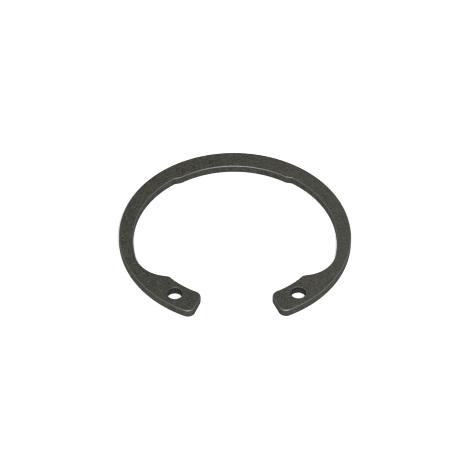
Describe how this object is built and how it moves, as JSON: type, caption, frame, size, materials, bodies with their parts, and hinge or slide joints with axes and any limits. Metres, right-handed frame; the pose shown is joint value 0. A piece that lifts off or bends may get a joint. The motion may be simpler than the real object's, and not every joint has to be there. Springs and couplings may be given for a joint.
{
  "type": "internal retaining ring",
  "caption": "Open flat ring of dark spring steel that snaps into a groove inside a bore and keeps a bearing or pin in place; drilled lugs beside its gap take ring pliers.",
  "frame": {"origin": "on the ring's axis, halfway through its thickness", "axes": "+Z along the ring's axis, up from the face it lies on; -Y towards the gap between the lugs; +X to the right, across the symmetry plane"},
  "size_m": [0.0398, 0.0378, 0.0016],
  "materials": {
    "phosphated_steel": "dark grey-brown phosphate coat, matt and lightly oiled, worn a little paler along the tumbled edges"
  },
  "bodies": {
    "root": {"retaining_ring": "phosphated_steel"}
  },
  "joints": []
}
